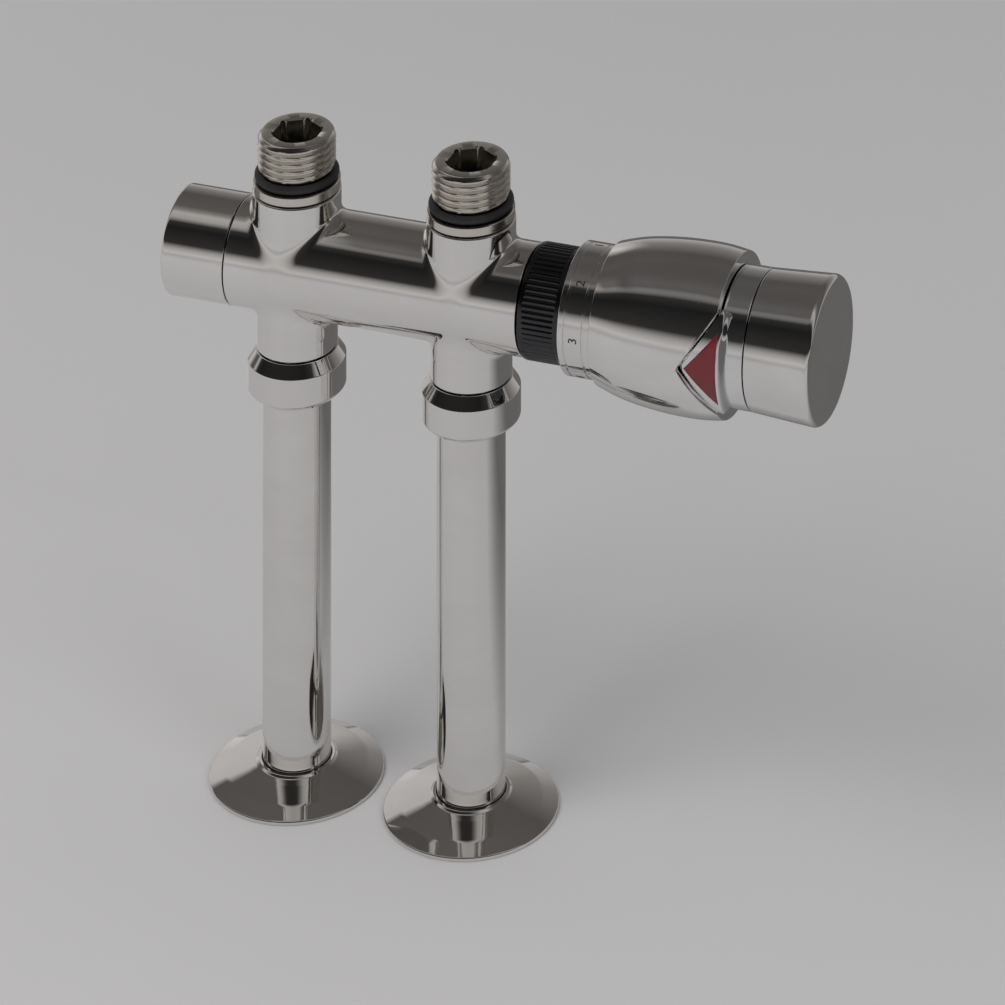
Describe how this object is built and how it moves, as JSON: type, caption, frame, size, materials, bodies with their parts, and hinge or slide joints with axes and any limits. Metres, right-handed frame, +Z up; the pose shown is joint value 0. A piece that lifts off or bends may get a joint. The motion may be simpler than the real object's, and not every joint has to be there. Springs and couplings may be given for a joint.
{
  "type": "thermostatic radiator valve",
  "caption": "Chrome twin-pipe radiator valve with an in-line thermostatic head, a cover cap over the return shut-off, and sleeved pipe tails with floor rosettes.",
  "frame": {"origin": "centre of the bounding box's footprint, at floor level; the two pipe axes stand at X = -58.5 mm and X = -8.5 mm, and the valve axis is 136 mm above the floor", "axes": "+X from the cover cap towards the thermostatic head, +Y towards the wall, +Z up"},
  "size_m": [0.184, 0.046, 0.17],
  "materials": {
    "chrome": "polished chrome plate",
    "graphite": "dark plated, fine knurl",
    "nickel": "nickel plate, cut thread",
    "brass": "turned brass",
    "copper": "drawn copper",
    "steel": "bright steel",
    "rubber": "black EPDM rubber",
    "dark_red": "moulded red inlay",
    "white_plastic": "moulded plastic",
    "black_plastic": "moulded plastic"
  },
  "bodies": {
    "valve": {"valve_body": "chrome", "cap_o_ring": "rubber", "shutoff_bonnet": "brass", "insert_body": "brass", "insert_o_ring": "rubber", "gland_nut": "brass", "gland_o_ring": "rubber", "return_spring": "steel", "radiator_nipple_left": "nickel", "nipple_seal_left": "rubber", "compression_nut_left": "chrome", "olive_left": "brass", "pipe_seal_left": "rubber", "supply_pipe_left": "copper", "pipe_sleeve_left": "chrome", "radiator_nipple_right": "nickel", "nipple_seal_right": "rubber", "compression_nut_right": "chrome", "olive_right": "brass", "pipe_seal_right": "rubber", "supply_pipe_right": "copper", "pipe_sleeve_right": "chrome"},
    "head": {"head_base": "white_plastic", "base_ring": "chrome", "retaining_clip": "steel"},
    "union_nut": {"union_nut": "graphite"},
    "grip": {"grip_barrel": "chrome", "drive_sleeve": "brass", "pointer_ring": "chrome", "pointer_arrow": "dark_red", "end_knob": "chrome"},
    "sensor": {"sensor_carrier": "black_plastic", "sensor_capsule": "copper", "push_rod": "steel", "overtravel_spring": "steel"},
    "valve_pin": {"valve_spindle": "steel", "valve_disc": "brass", "disc_washer": "rubber"},
    "shutoff_plug": {"shutoff_cone": "brass", "shutoff_washer": "rubber"},
    "shutoff_stem": {"shutoff_spindle": "brass", "shutoff_o_ring": "rubber"},
    "cover_cap": {"shutoff_cover_cap": "chrome"},
    "rosette_left": {"floor_rosette_left": "chrome"},
    "rosette_right": {"floor_rosette_right": "chrome"}
  },
  "joints": [
    {"name": "head_release", "type": "slide", "parent": "valve", "child": "head", "axis": [1, 0, 0], "range_m": [0, 0.009]},
    {"name": "union_nut_turn", "type": "hinge", "parent": "head", "child": "union_nut", "pos_m": [0.0158, 0, 0.136], "axis": [1, 0, 0], "range_deg": [0, 2160]},
    {"name": "grip_turn", "type": "hinge", "parent": "head", "child": "grip", "pos_m": [0.0485, 0, 0.136], "axis": [1, 0, 0], "range_deg": [-200, 100]},
    {"name": "sensor_travel", "type": "slide", "parent": "head", "child": "sensor", "axis": [1, 0, 0], "range_m": [-0.002, 0.001]},
    {"name": "valve_travel", "type": "slide", "parent": "valve", "child": "valve_pin", "axis": [1, 0, 0], "range_m": [-0.002, 0.001], "deforming": ["return_spring"]},
    {"name": "shutoff_lift", "type": "slide", "parent": "valve", "child": "shutoff_plug", "axis": [-1, 0, 0], "range_m": [-0.0025, 0]},
    {"name": "shutoff_turn", "type": "hinge", "parent": "shutoff_plug", "child": "shutoff_stem", "pos_m": [-0.0735, 0, 0.136], "axis": [-1, 0, 0], "range_deg": [-720, 0]},
    {"name": "cap_pull", "type": "slide", "parent": "valve", "child": "cover_cap", "axis": [-1, 0, 0], "range_m": [0, 0.025]},
    {"name": "rosette_left_lift", "type": "slide", "parent": "valve", "child": "rosette_left", "axis": [0, 0, 1], "range_m": [0, 0.05]},
    {"name": "rosette_right_lift", "type": "slide", "parent": "valve", "child": "rosette_right", "axis": [0, 0, 1], "range_m": [0, 0.05]}
  ],
  "couplings": [
    {"joint": "union_nut_turn", "follows": "head_release", "rad_per_m": 4188.8},
    {"joint": "sensor_travel", "follows": "grip_turn", "m_per_rad": 0.00057295},
    {"joint": "valve_travel", "follows": "grip_turn", "m_per_rad": 0.00057295},
    {"joint": "shutoff_turn", "follows": "shutoff_lift", "rad_per_m": 5026.5}
  ]
}
